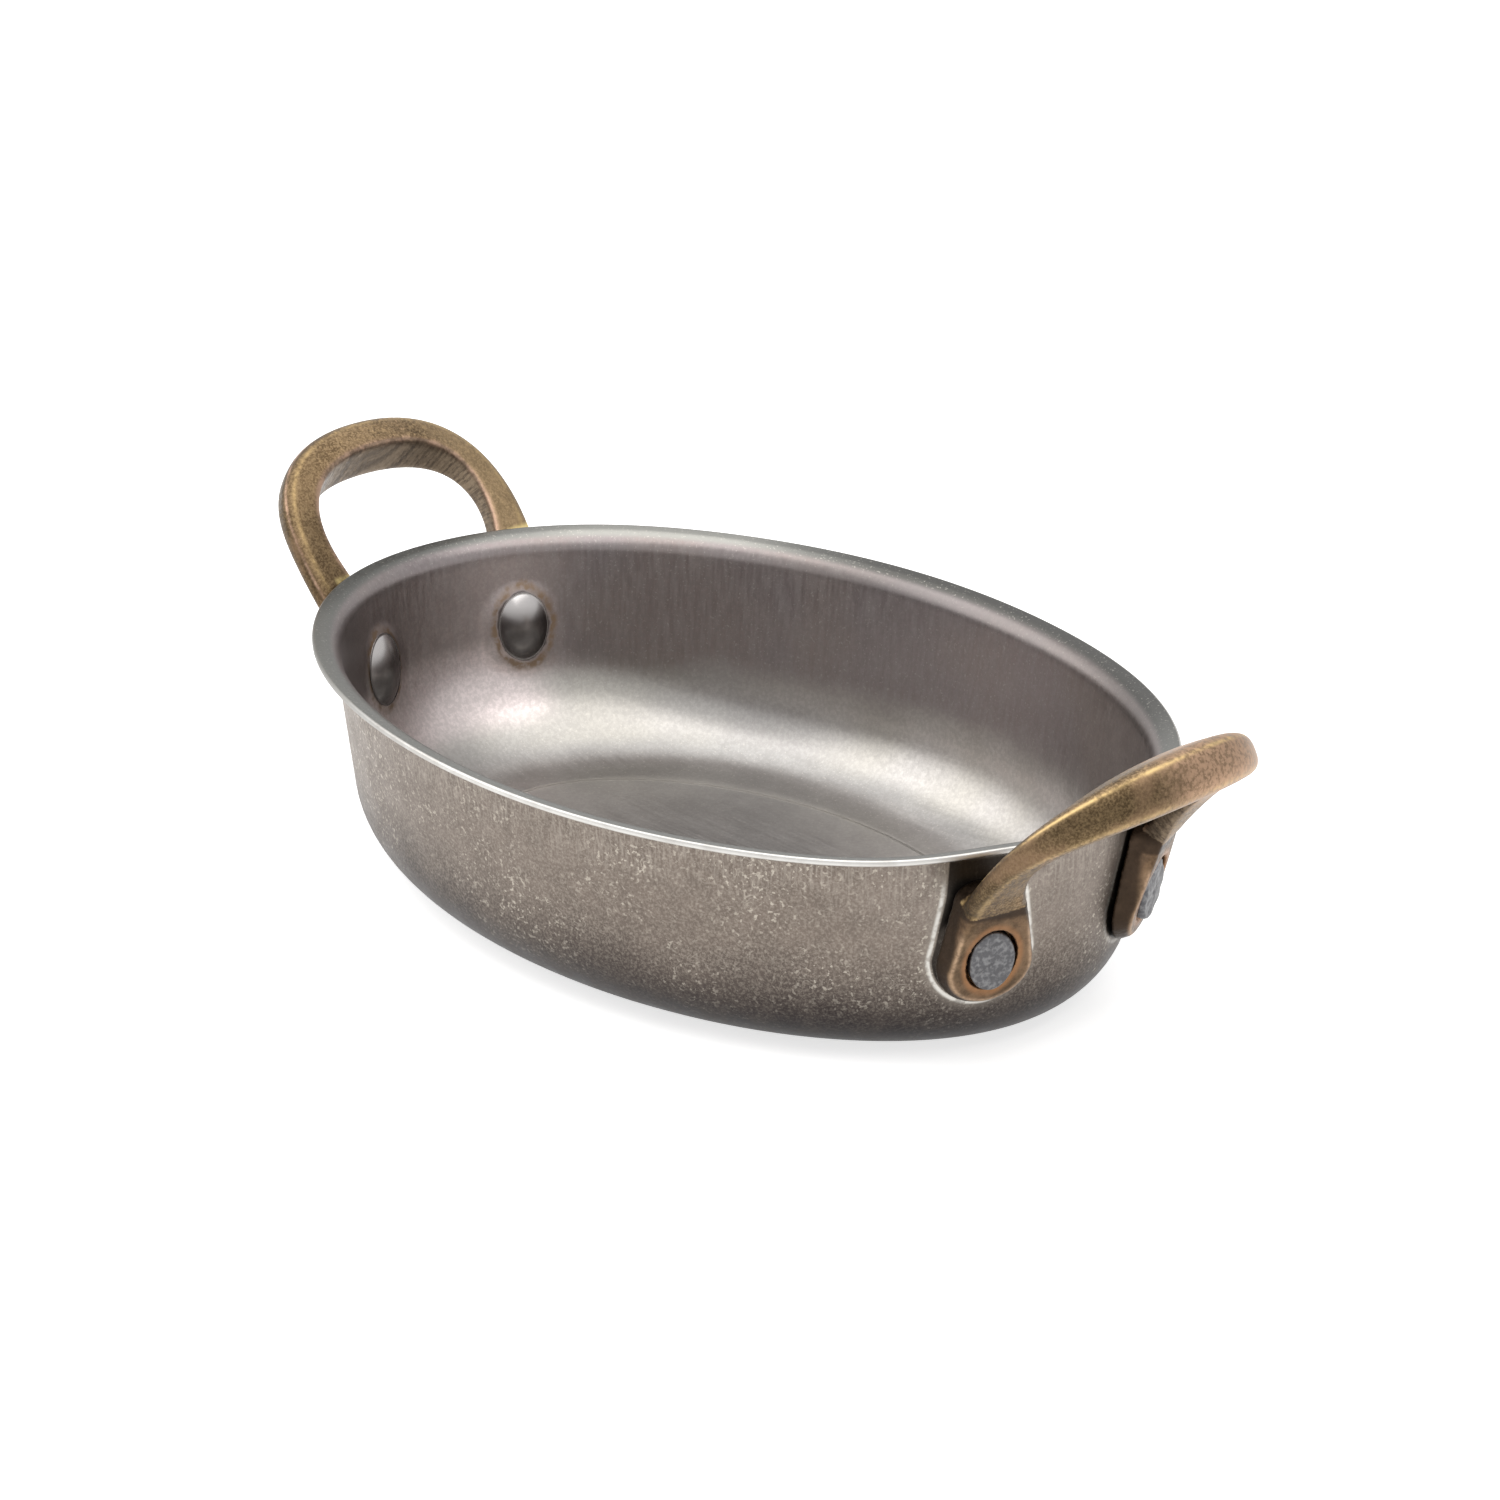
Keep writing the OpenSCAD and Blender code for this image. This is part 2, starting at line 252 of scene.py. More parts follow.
def ring_faces(rings, count):
    faces = []
    for i in range(rings - 1):
        low, high = i * count, (i + 1) * count
        for j in range(count):
            k = (j + 1) % count
            faces.append((low + j, high + j, high + k, low + k))
    return faces


def fans(rings, count):
    """Faces from the first and the last ring to the two points that follow all the rings."""
    low, top = rings * count, (rings - 1) * count
    faces = [(low, j, (j + 1) % count) for j in range(count)]
    return faces + [(low + 1, top + (j + 1) % count, top + j) for j in range(count)]


# ---------------------------------------------------------------- pan

def pan_profile():
    """Points [outward from the lip's edge, height] and what goes with each of them: its move for
    each millimetre of a rounder inside corner, its zone, and how far in from the corner."""
    deg, lip_deg = math.degrees(DRAFT), math.degrees(LIP_A)
    rows = np.linspace(corner_low, wall_top[1], OUTER_ROWS)[1:-1]
    outer_wall = np.stack([-wall_inset(rows), rows], -1)
    tip = lip_low - EDGE_R * lip_along + EDGE_R * lip_up
    tip_up = tip + (SHEET - 2 * EDGE_R) * lip_up
    lip_in = lip_low - LIP_W * lip_along
    under = np.array([lip_in + (LIP_W - EDGE_R) * t * lip_along for t in (0.33, 0.66, 1)])

    # bend inside the lip, tangent to the lip's top and to the inner wall
    face = np.array([(wall_top - SHEET * wall_out) @ wall_out + LIP_INNER,
                     (lip_low + SHEET * lip_up) @ lip_up - LIP_INNER])
    inner_c = np.linalg.solve(np.array([wall_out, lip_up]), face)
    lip_end = inner_c + LIP_INNER * lip_up
    lip_start = tip_up + EDGE_R * lip_up
    over = np.array([lip_start + (lip_end - lip_start) * t for t in (0.01, 0.33, 0.66)])
    high, low = inner_c - LIP_INNER * wall_out, corner_c + (CORNER_R - SHEET) * wall_out
    share = np.linspace(0, 1, INNER_ROWS)[1:-1]
    inner_wall = high + share[:, None] * (low - high)
    radial = arc(0, 1, -deg, -90, INNER_CORNER)
    corner_move = np.array([-(1 - math.sin(DRAFT)) / math.cos(DRAFT), 1]) + radial

    drop = np.linspace(0, FLOOR_BAND, FLOOR_ROWS)[1:]
    step = STEP_H * smooth((drop - STEP_FROM) / STEP_W) - GROOVE_D * bell(drop, GROOVE_AT, GROOVE_W)
    crease = np.stack([-corner_inset - drop, SHEET + step], -1)
    parts = [
        (arc(corner_c, CORNER_R, -90, -deg, OUTER_CORNER), None, "body"),
        (outer_wall, None, "body"),
        (arc(bend_c, LIP_BEND, 180 - deg, 90 + lip_deg, OUTER_BEND), None, "body"),
        (under, None, "under"),
        (arc(tip, EDGE_R, lip_deg - 90, lip_deg, EDGE_STEPS)[1:], None, "edge"),
        (arc(tip_up, EDGE_R, lip_deg, lip_deg + 90, EDGE_STEPS)[:-1], None, "edge"),
        (over, None, "inside"),
        (arc(inner_c, LIP_INNER, 90 + lip_deg, 180 - deg, INNER_BEND), None, "inside"),
        (inner_wall, share[:, None] * corner_move[0], "inside"),
        (corner_c + (CORNER_R - SHEET) * radial, corner_move, "inside"),
        (crease, np.tile(corner_move[-1], (len(crease), 1)), "inside")]
    points = np.concatenate([part[0] for part in parts])
    moves = np.concatenate([np.zeros_like(part[0]) if part[1] is None else part[1]
                            for part in parts])
    zones = np.concatenate([[part[2]] * len(part[0]) for part in parts])
    inward = np.zeros(len(points))
    inward[-len(drop):] = drop
    return points, moves, zones, inward


def stations():
    """Angles round the ellipse, closer together near the rivets."""
    a = np.linspace(0, 2 * math.pi, ANGLE_TABLE)
    near = math.asin(RIVET_Y / (HALF_Y - wall_inset(RIVET_Z)))
    weight = np.ones_like(a)
    for spot in (near, math.pi - near, math.pi + near, 2 * math.pi - near):
        weight += CROWD * bell(a, spot, CROWD_WIDTH)
    total = np.concatenate([[0], np.cumsum((weight[1:] + weight[:-1]) / 2)])
    return np.interp(np.arange(PAN_STATIONS) / PAN_STATIONS * total[-1], total, a)


def press_flats(points, inside):
    """Flattens the wall round each rivet: a disc inside, a boss up to the pad outside."""
    for end in (-1, 1):
        for row in (-1, 1):
            rot, origin = rivet_frame(end, row)
            local = (points - origin) @ rot
            r = np.hypot(local[:, 0], local[:, 1])
            near = (r < PRESS_REACH) & (np.abs(local[:, 2]) < PRESS_DEPTH)
            for mask, height, (full, gone) in ((inside, -GRIP, PRESS_IN),
                                               (~inside, -BOSS_GAP, PRESS_OUT)):
                pick = near & mask
                blend = 1 - smooth((r[pick] - full) / (gone - full))
                local[pick, 2] += blend * (height - local[pick, 2])
                points[pick] = local[pick] @ rot.T + origin
    return points


def nearest_rivet(points):
    """How far down and to the side of the nearest rivet each point lies, in its seat plane, and
    how bright that rivet's pad has rubbed the wall."""
    best = np.full(len(points), np.inf)
    local = np.zeros((len(points), 2))
    rubbed = np.zeros(len(points))
    for end in (-1, 1):
        for row in (-1, 1):
            rot, origin = rivet_frame(end, row)
            here = (points - origin) @ rot
            away = np.linalg.norm(here, axis=1)
            pick = away < best
            best[pick] = away[pick]
            local[pick] = np.column_stack([here[pick, 0], np.abs(here[pick, 1])])
            rubbed[pick] = 1.0 if (end, side_of(end, row)) == (1, "front") else 0.3
    return local, rubbed


def make_pan():
    profile, moves, zones, inward = pan_profile()
    angles = stations()
    count = len(angles)
    to_dent = plan(angles, np.zeros(count)) - plan(np.array(DENT_A), 0)
    dent = DENT_D * np.exp(-(np.linalg.norm(to_dent, axis=1) / DENT_W) ** 2 / 2)
    wave = WAVE * (np.sin(3 * angles + 0.7) + 0.6 * np.sin(7 * angles + 2))
    panel = (SIDE_ROUND + (END_ROUND - SIDE_ROUND) * np.cos(angles) ** 2
             + ROUND_LEAN * np.cos(angles))
    tighter = panel - TIGHT_BY * bell(angles, TIGHT_AT, TIGHT_WIDE)
    rings = []
    for (out, z), move, far_in in zip(profile, moves, inward):
        rounder = panel if far_in > 0 else tighter
        inset = dent * smooth((z - DENT_Z) / (PAN_H - DENT_Z)) - out - rounder * move[0]
        height = z + rounder * move[1] + wave * smooth((z - WAVE_FROM) / WAVE_RISE)
        rings.append(np.column_stack([plan(angles, inset), height]))
    first = [rings[0] * [s, s, 1] for s in reversed(SHRINK)]
    last = [rings[-1] * [s, s, 1] for s in SHRINK]
    rings = first + rings + last
    zones = np.concatenate([["body"] * len(first), zones, ["inside"] * len(last)])
    zones = np.concatenate([np.repeat(zones, count), ["body", "inside"]])
    inward = np.concatenate([[0] * len(first), inward, [inward[-1]] * len(last)])
    inward = np.concatenate([np.repeat(inward, count), [0, inward[-1]]])
    points = np.concatenate(rings + [[[0, 0, rings[0][0, 2]], [0, 0, rings[-1][0, 2]]]])
    faces = ring_faces(len(rings), count) + fans(len(rings), count)
    local, rubbed = nearest_rivet(points)
    points = press_flats(points, zones == "inside")
    return mesh_object("dish_pan", points, faces, {
        "inside": zones == "inside", "lip_edge": zones == "edge", "lip_under": zones == "under",
        "rivet_down": local[:, 0], "rivet_side": local[:, 1], "rubbed": rubbed, "inward": inward})


# ---------------------------------------------------------------- handles

def slope(s):
    return SLOPE_1 + (SLOPE_0 - SLOPE_1) * np.exp(-s / BEND)


def bezier(t, a, b, c, d):
    u = 1 - t
    return u ** 3 * a + 3 * u * u * t * b + 3 * u * t * t * c + t ** 3 * d


def three_way(sizes, w):
    """Parabola through a size at the root, halfway and at the end of the loop."""
    return (sizes[0] * (1 - w) * (1 - 2 * w) + 4 * sizes[1] * w * (1 - w)
            + sizes[2] * w * (2 * w - 1))


ROOT_X, ROOT_Y, ROOT_Z = RIVET_X + ROOT_OUT, RIVET_Y + ROOT_SIDE, RIVET_Z + ROOT_UP
side_s = np.linspace(0, LOOP, SIDE_POINTS)
side_angles = np.radians(slope(side_s[:-1] + side_s[1] / 2))
side_x = ROOT_X + np.concatenate([[0], np.cumsum(np.cos(side_angles) * side_s[1])])
side_z = ROOT_Z + np.concatenate([[0], np.cumsum(np.sin(side_angles) * side_s[1])])


def bar_path(m):
    """Middle line of the bar, from -1 at one root to 1 at the other, and its length up the side."""
    u = 1 - np.abs(m)
    s = bezier(u, 0, LEG, LOOP, LOOP)
    y = bezier(u, ROOT_Y, RIVET_Y + LOOP_SIDE, RIVET_Y + LOOP_SWELL, 0)
    path = [np.interp(s, side_s, side_x), np.sign(m) * y, np.interp(s, side_s, side_z)]
    return np.stack(path, -1), s


def unit(v):
    return v / np.linalg.norm(v, axis=-1, keepdims=True)


def bar_frames():
    """Middle, half sizes and directions of the bar's section at each step, and how far that
    step is from the middle of the loop."""
    reach, toe_end, shoulder_end, shoulder_low = 0.01, 0.35, 1.6, 0.55
    m = np.linspace(-1, 1, BAR_STEPS + 1)
    centre, s = bar_path(m)
    ahead = unit(bar_path(np.minimum(1, m + reach))[0] - bar_path(np.maximum(-1, m - reach))[0])
    w = s / LOOP
    tilt = np.radians(slope(s) + TILT * w)
    turn = np.sign(m) * TOE * np.maximum(0, 1 - w / toe_end) ** 2
    up = np.stack([-np.sin(tilt) * np.cos(turn), -np.sin(tilt) * np.sin(turn), np.cos(tilt)], -1)
    side = unit(np.cross(up, ahead))
    over = np.cross(ahead, side)
    rise = np.sqrt(1 - (1 - np.clip(s / shoulder_end, 0, 1)) ** 2)
    shoulder = shoulder_low + (1 - shoulder_low) * rise
    half = np.stack([three_way(WIDTHS, w), three_way(DEPTHS, w)], -1) / 2 * shoulder[:, None]
    return centre, half, side, over, (LOOP - s) * np.sign(m)


def bar_rings():
    centre, half, side, over, _ = bar_frames()
    c, sn = on_circle(whole_turn(BAR_AROUND)).T
    square = 2 / np.where(c > 0, INNER_SQUARE, OUTER_SQUARE)
    rx, ry = np.sign(c) * np.abs(c) ** square, np.sign(sn) * np.abs(sn) ** square
    return (centre[:, None] + half[:, None, :1] * rx[None, :, None] * side[:, None]
            + half[:, None, 1:] * ry[None, :, None] * over[:, None])


def closed_sweep(rings):
    n, count = rings.shape[:2]
    caps = [tuple(range(count)), tuple((n - 1) * count + j for j in range(count - 1, -1, -1))]
    return rings.reshape(-1, 3), ring_faces(n, count) + caps


def pad_outline(draw_in):
    """Round lower end with straight sides drawn in to the neck, in the pad's plane."""
    top_r = 3.0
    radius, neck = PAD_R - draw_in, PAD_NECK - draw_in
    lean = math.atan2(radius - neck, PAD_RISE + PAD_DROP)
    a = np.linspace(-math.pi / 2 - lean, math.pi / 2 + lean, PAD_STEPS)
    low = on_circle(a) * radius + [PAD_DROP, 0]
    # the top corners are rounded, so that the pad dies into the leg
    b = np.linspace(math.pi / 2, math.pi, PAD_TOP_STEPS)
    high = on_circle(b) * top_r + [top_r - PAD_RISE, neck - top_r]
    return np.concatenate([low, high, high[::-1] * [1, -1]])


def make_pad(end, row):
    """Wedge between an upright foot on the wall and a smaller face that leans outward. Its
    rings: how far each is drawn in, and its height, or how far it lies below the leaning face."""
    rings = []
    for draw_in, height, below in ((0, 0, None), (0, PAD_FOOT, None),
                                   (PAD_TAPER * 0.85, None, 0.25), (PAD_TAPER + 0.2, None, 0)):
        outline = pad_outline(draw_in)
        if below is None:
            level_z = np.full(len(outline), height)
        else:
            level_z = (PAD_T + (PAD_DROP + PAD_R - outline[:, 0]) * math.tan(PAD_LEAN)) - below
        rings.append(np.column_stack([outline, level_z]))
    rot, origin = rivet_frame(end, row)
    return closed_sweep(np.array(rings) @ rot.T + origin)


def disc(end, row, radius, low, high, shares=(1, 1)):
    """Cylinder along the rivet, as wide and tall as the shares say."""
    circle = on_circle(whole_turn(DISC_AROUND)) * shares[::-1] * radius
    rot, origin = rivet_frame(end, row)
    rings = [np.column_stack([circle, np.full(DISC_AROUND, z)]) for z in (low, high)]
    return closed_sweep(np.array(rings) @ rot.T + origin)


def apply_all(obj):
    """Puts what the modifiers make into the object's own mesh."""
    graph = bpy.context.evaluated_depsgraph_get()
    mesh = bpy.data.meshes.new_from_object(obj.evaluated_get(graph))
    obj.modifiers.clear()
    obj.data = mesh


def recalc(obj):
    bm = bmesh.new()
    bm.from_mesh(obj.data)
    bmesh.ops.recalc_face_normals(bm, faces=bm.faces)
    bm.to_mesh(obj.data)
    bm.free()
    return obj


def outside_foot(x, y):
    """Distance outside the pad's foot, negative inside it."""
    lean = (PAD_R - PAD_NECK) / (PAD_RISE + PAD_DROP)
    beside = np.abs(y) + lean * np.maximum(PAD_DROP - x, 0)
    return np.hypot(np.maximum(x - PAD_DROP, 0), beside) - PAD_R


def vertex_places(obj):
    points = np.empty(len(obj.data.vertices) * 3)
    obj.data.vertices.foreach_get("co", points)
    return points.reshape(-1, 3) / MM


def bar_masks(points, end):
    """Masks from each point's place in the bar's section, u to the opening and v upward, both 1
    at its faces, and from the angle there; and whether the point is part of the bar."""
    centre, half, side, over, run = bar_frames()
    centre, side, over = at_end(centre, end), side @ end_turn(end).T, over @ end_turn(end).T
    near = np.concatenate([np.linalg.norm(part[:, None] - centre, axis=2).argmin(1)
                           for part in np.array_split(points, 40)])
    offset = points - centre[near]
    u = (offset * side[near]).sum(1) / half[near, 0]
    v = (offset * over[near]).sum(1) / half[near, 1]
    angle = np.degrees(np.arctan2(v, u))
    bevel = bell(angle, 138, 5) if end > 0 else 0.4 * bell(angle, 117, 6)
    facing = np.where(points[:, 1] < 0, smooth((u + 0.1) / 0.3), smooth((0.5 - u) / 0.3))
    beside_lip = smooth((points[:, 2] - 31.8) / 0.8) * smooth((35.0 - points[:, 2]) / 1.0)
    masks = {"flat": smooth((u - 0.74) / 0.16) * (np.abs(v) < 0.96),
             "edge": bell(angle, 46, 7),
             "bevel": bevel + 0.45 * bell(angle, -132, 8),
             "ridge": bell(angle, 143, 4) * (end < 0),
             "outer": smooth((np.abs(angle) - 128) / 14),
             "run": run[near] + 0.4 * v,
             "gleam": smooth((v - 0.2) / 0.3) * beside_lip * (end < 0) * facing}
    return masks, np.maximum(np.abs(u), np.abs(v)) < 1.12


def pad_masks(points, in_bar, end):
    """Masks from each point's place on a pad, x down and y across it, z out from the wall."""
    pad, ring, rim, flank_shade = (np.zeros(len(points)) for _ in range(4))
    for row in (-1, 1):
        rot, origin = rivet_frame(end, row)
        here = (points - origin) @ rot
        close = (np.linalg.norm(here, axis=1) < 18) & ((here[:, 0] > -8) | ~in_bar)
        x, y, z = here[close].T
        wide, tall = RIVET_SHARES[end, side_of(end, row)]
        rho = np.hypot(x / tall, y / wide) / TAIL_R
        away = outside_foot(x, y)
        pad[close] = np.maximum(smooth((x + 8.0) / 2.5), ~in_bar[close])
        ring[close] = smooth((1.42 - rho) / 0.22)
        rim[close] = bell(away, -1.25, 0.26) * smooth((x + 6) / 2) * (z > 0.8)
        # painted shade on the flank, in the crease under the leg and on the pad's top beyond the
        # bar
        crease = bell(x + 0.1 * np.abs(y), -7.6, 0.6) * (np.abs(y) < 5) * smooth((x + 8.4) / 0.5)
        flank_shade[close] = np.maximum(np.maximum(smooth((away + 1.0) / 0.3), 0.8 * crease),
                                  ~in_bar[close] * smooth((-7.2 - x) / 0.6))
    return {"pad": pad, "ring": ring, "pad_rim": rim, "flank_shade": flank_shade}


def soften_roots(bar, end):
    """Rounds the casting where each leg runs into its pad."""
    points = vertex_places(bar)
    weight = np.zeros(len(points))
    for row in (-1, 1):
        rot, origin = rivet_frame(end, row)
        x, y, z = ((points - origin) @ rot).T
        weight = np.maximum(weight, bell(x, -8.6, 2.6) * (np.abs(y) < 9) * (z > 1) * (z < 9))
    group = bar.vertex_groups.new(name="roots")
    for index in np.nonzero(weight > 0.05)[0]:
        group.add([int(index)], float(weight[index]), "REPLACE")
    mod = bar.modifiers.new("roots", "SMOOTH")
    mod.factor, mod.iterations, mod.vertex_group = SMOOTHING, ROOT_SMOOTHING, "roots"
    apply_all(bar)


def make_handle(name, end):
    bar = recalc(mesh_object(name, *closed_sweep(at_end(bar_rings(), end))))
    tools = [("UNION", make_pad(end, row)) for row in (-1, 1)]
    for row in (-1, 1):
        shares = RIVET_SHARES[end, side_of(end, row)]
        seat = disc(end, row, TAIL_R + SEAT_GAP, SEAT_Z, SEAT_Z + 4, shares)
        hole = disc(end, row, SHANK_R + HOLE_GAP, -3, SEAT_Z + 1)
        tools += [("DIFFERENCE", seat), ("DIFFERENCE", hole)]
    extras = []
    for operation, shape in tools:
        extras.append(recalc(mesh_object(f"{name}_tool", *shape)))
        mod = bar.modifiers.new("tool", "BOOLEAN")
        mod.operation, mod.object, mod.solver = operation, extras[-1], "EXACT"
    mod = bar.modifiers.new("cast", "REMESH")
    mod.mode, mod.voxel_size = "VOXEL", VOXEL * MM
    mod = bar.modifiers.new("soft", "SMOOTH")
    mod.factor, mod.iterations = SMOOTHING, CAST_SMOOTHING
    apply_all(bar)
    for extra in extras:
        bpy.data.objects.remove(extra)
    soften_roots(bar, end)
    points = vertex_places(bar)
    masks, in_bar = bar_masks(points, end)
    finish_mesh(bar, masks | pad_masks(points, in_bar, end))
    return bar


# ---------------------------------------------------------------- rivets

def rivet_profile():
    """Radius and height of a rivet from the middle of its head to its tail."""
    dome_r = (HEAD_R ** 2 + HEAD_H ** 2) / (2 * HEAD_H)
    opening = math.asin(HEAD_R * 0.985 / dome_r)
    top = SEAT_Z + TAIL_H
    dome = [(dome_r * math.sin(opening * t),
             -GRIP - HEAD_H + dome_r * (1 - math.cos(opening * t)) + 0.05)
            for t in np.linspace(0, 1, DOME_ROWS)[1:]]
    return dome + [
        (HEAD_R, -GRIP - 0.12), (HEAD_R - 0.03, -GRIP), (4.2, -GRIP), (SHANK_R, -GRIP),
        (SHANK_R, -GRIP / 2), (SHANK_R, SEAT_Z), (TAIL_R - 0.1, SEAT_Z), (TAIL_R, SEAT_Z + 0.2),
        (TAIL_R, SEAT_Z + 0.6), (TAIL_R, top - 0.65), (TAIL_R - 0.08, top - 0.40),
        (TAIL_R - 0.24, top - 0.2), (TAIL_R - 0.5, top - 0.07),
        *((r, top - 0.02) for r in (3.5, 3.1, 2.7, 2.2, 1.7, 1.2, 0.7, 0.3))]


def make_rivet(name, end, row, seed):
    """Rivet with an uneven rim and dents from the hammer in its tail."""
    dent_count, dent_reach, dent_depths, dent_sizes = 46, 3.4, (0.04, 0.16), (0.35, 0.9)
    uneven, face_up = 0.05, 0.10
    rng = np.random.default_rng(seed)
    profile = rivet_profile()
    top = SEAT_Z + TAIL_H
    a = whole_turn(RIVET_AROUND)
    wobble = sum(rng.normal(0, uneven / k) * np.cos(k * a + rng.uniform(0, 6.3))
                 for k in range(2, 9))
    dents = rng.uniform(-dent_reach, dent_reach, (dent_count, 2))
    depth = rng.uniform(*dent_depths, dent_count)
    size = rng.uniform(*dent_sizes, dent_count)
    wide, tall = RIVET_SHARES[end, side_of(end, row)]
    rings = []
    for r, z in profile:
        grow = 1 + wobble / TAIL_R * (z > SEAT_Z + 0.1)
        # the shank stays round; head and tail are spread unevenly
        spread = smooth(r - SHANK_R) if -GRIP <= z <= SEAT_Z else 1.0
        x = r * grow * np.cos(a) * (1 + (tall - 1) * spread)
        y = r * grow * np.sin(a) * (1 + (wide - 1) * spread)
        x -= HEAD_UP * (z < -GRIP / 2) * (r > SHANK_R or z < -GRIP - 0.2)
        height = np.full(RIVET_AROUND, float(z))
        if z > top - 0.3:
            for (dx, dy), h, w in zip(dents, depth, size):
                height -= h * np.exp(-((x - dx) ** 2 + (y - dy) ** 2) / w ** 2)
            height += face_up
        rings.append(np.column_stack([x, y, height]))
    middles = [[-HEAD_UP, 0, -GRIP - HEAD_H + 0.05], [0, 0, rings[-1][:, 2].mean()]]
    points = np.concatenate(rings + [middles])
    faces = ring_faces(len(rings), RIVET_AROUND) + fans(len(rings), RIVET_AROUND)
    rot, origin = rivet_frame(end, row)
    return recalc(mesh_object(name, points @ rot.T + origin, faces, {"tail": points[:, 2] > 0.5}))


# ---------------------------------------------------------------- colours, linear

# Pan, outside: taupe with a dark lower part that is partly painted shade, specks, curls and
# streaks; lip with painted shade under it and a painted highlight on its raw edge; round the pads
TAUPE, LOW_PURPLE_AND_SHADE = (0.150, 0.123, 0.105), (0.020, 0.0158, 0.0168)
BOTTOM_PURPLE_AND_SHADE, TAUPE_RIGHT = (0.012, 0.0095, 0.010), (0.24, 0.205, 0.182)
TAUPE_CLOUD = (0.100, 0.083, 0.072)
SPECK, CURL, STREAK = (0.31, 0.272, 0.232), (0.60, 0.555, 0.475), (0.34, 0.305, 0.265)
UNDER_LIP_SHADE, EDGE_LEFT, EDGE_RIGHT_HIGHLIGHT = (0.02, 0.018, 0.017), (0.17, 0.168, 0.158), (0.56, 0.55, 0.53)
PAD_LINE, PAD_HALO, PAD_SHADE = (0.66, 0.645, 0.605), (0.33, 0.30, 0.26), (0.015, 0.012, 0.010)
# Pan, inside: pairs that a noise mixes, then what is laid over them, painted sheen, highlights and
# shade among them
CORNER_POLISH_AND_SHEEN = (0.345, 0.331, 0.322), (0.385, 0.370, 0.352)
FLOOR_STEEL = (0.286, 0.280, 0.272), (0.334, 0.327, 0.317)
WALL_PURPLE = (0.225, 0.181, 0.172), (0.209, 0.174, 0.178)
SHEEN_STEEL, END_WALL = (0.63, 0.605, 0.587), (0.405, 0.345, 0.335)
GOLDEN, ROSY_HIGHLIGHT = (0.372, 0.354, 0.305), (0.72, 0.633, 0.624)
BRUSHED, SANDY, SPARKLE = (0.44, 0.425, 0.408), (0.20, 0.190, 0.182), (0.55, 0.52, 0.47)
CORNER_FOOT_SHADE, STEP_HIGHLIGHT = (0.16, 0.152, 0.145), (0.54, 0.520, 0.485)
LIP, LIP_SHADE_END, LIP_HIGHLIGHT = (0.195, 0.195, 0.183), (0.145, 0.147, 0.138), (0.275, 0.272, 0.254)
LIP_SHADE, LIP_BEND_SHADE = (0.090, 0.088, 0.083), (0.10, 0.092, 0.089)
LIP_SPARKLE = (0.50, 0.48, 0.43)
HEAD_BLOOM, HEAD_SHADOW_LINE = (0.250, 0.170, 0.105), (0.05, 0.042, 0.04)
# Brass: patina, its faces, edges and pads, with painted highlights on the edges and the legs and
# painted shade on a leg and the pads' flanks
BRASS = (0.108, 0.071, 0.038), (0.186, 0.126, 0.070)
MOTTLE, GRAIN, GOLD = (0.062, 0.040, 0.022), (0.39, 0.278, 0.158), (0.48, 0.345, 0.185)
FRONT_LEG_SHADE, REAR_LEG_HIGHLIGHT = (0.060, 0.039, 0.021), (0.36, 0.262, 0.150)
PINK, BLOTCH, TIP_PINK_AND_HIGHLIGHT = (0.46, 0.285, 0.210), (0.235, 0.150, 0.092), (0.46, 0.300, 0.200)
OUTER_FACE = (0.056, 0.038, 0.020), (0.19, 0.131, 0.070)
INNER_FACE = (0.060, 0.046, 0.036), (0.165, 0.127, 0.090)
BEVEL_WEAR_AND_HIGHLIGHT, EDGE_WEAR_AND_HIGHLIGHT = (0.66, 0.475, 0.225), (0.52, 0.345, 0.250)
RUST = (0.070, 0.045, 0.029), (0.160, 0.101, 0.062)
FLANK_SHADE, PAD_RIM, PAD_RING = (0.036, 0.025, 0.018), (0.42, 0.29, 0.19), (0.275, 0.140, 0.066)
GLEAM = (0.85, 0.68, 0.30)
# Rivets: domed heads with a painted highlight on top, hammered tails
HEAD = (0.190, 0.176, 0.171), (0.245, 0.231, 0.225)
HEAD_TOP_HIGHLIGHT = (0.52, 0.500, 0.492)
TAIL = (0.098, 0.097, 0.102), (0.185, 0.185, 0.189)


# ---------------------------------------------------------------- materials

class Nodes:
    """Adds nodes to the shader tree of a material or the world, and links them."""

    def __init__(self, owner):
        owner.use_nodes = True
        self.tree = owner.node_tree
        self.tree.nodes.clear()

    def add(self, kind, inputs=None, **props):
        node = self.tree.nodes.new(kind)
        for key, value in props.items():
            setattr(node, key, value)
        for key, value in (inputs or {}).items():
            if hasattr(value, "links"):
                self.tree.links.new(value, node.inputs[key])
            else:
                node.inputs[key].default_value = value
        return node

    def math(self, op, a, b=0.0, c=0.0, clamp=False):
        node = self.add("ShaderNodeMath", {0: a, 1: b, 2: c}, operation=op, use_clamp=clamp)
        return node.outputs[0]

    def times(self, a, b, clamp=False):
        return self.math("MULTIPLY", a, b, clamp=clamp)

    def seen(self):
        """1 for rays from the camera, from gloss and through glass."""
        rays = self.add("ShaderNodeLightPath").outputs
        near = self.math("MAXIMUM", rays["Is Camera Ray"], rays["Is Glossy Ray"])
        return self.math("MAXIMUM", near, rays["Is Transmission Ray"])


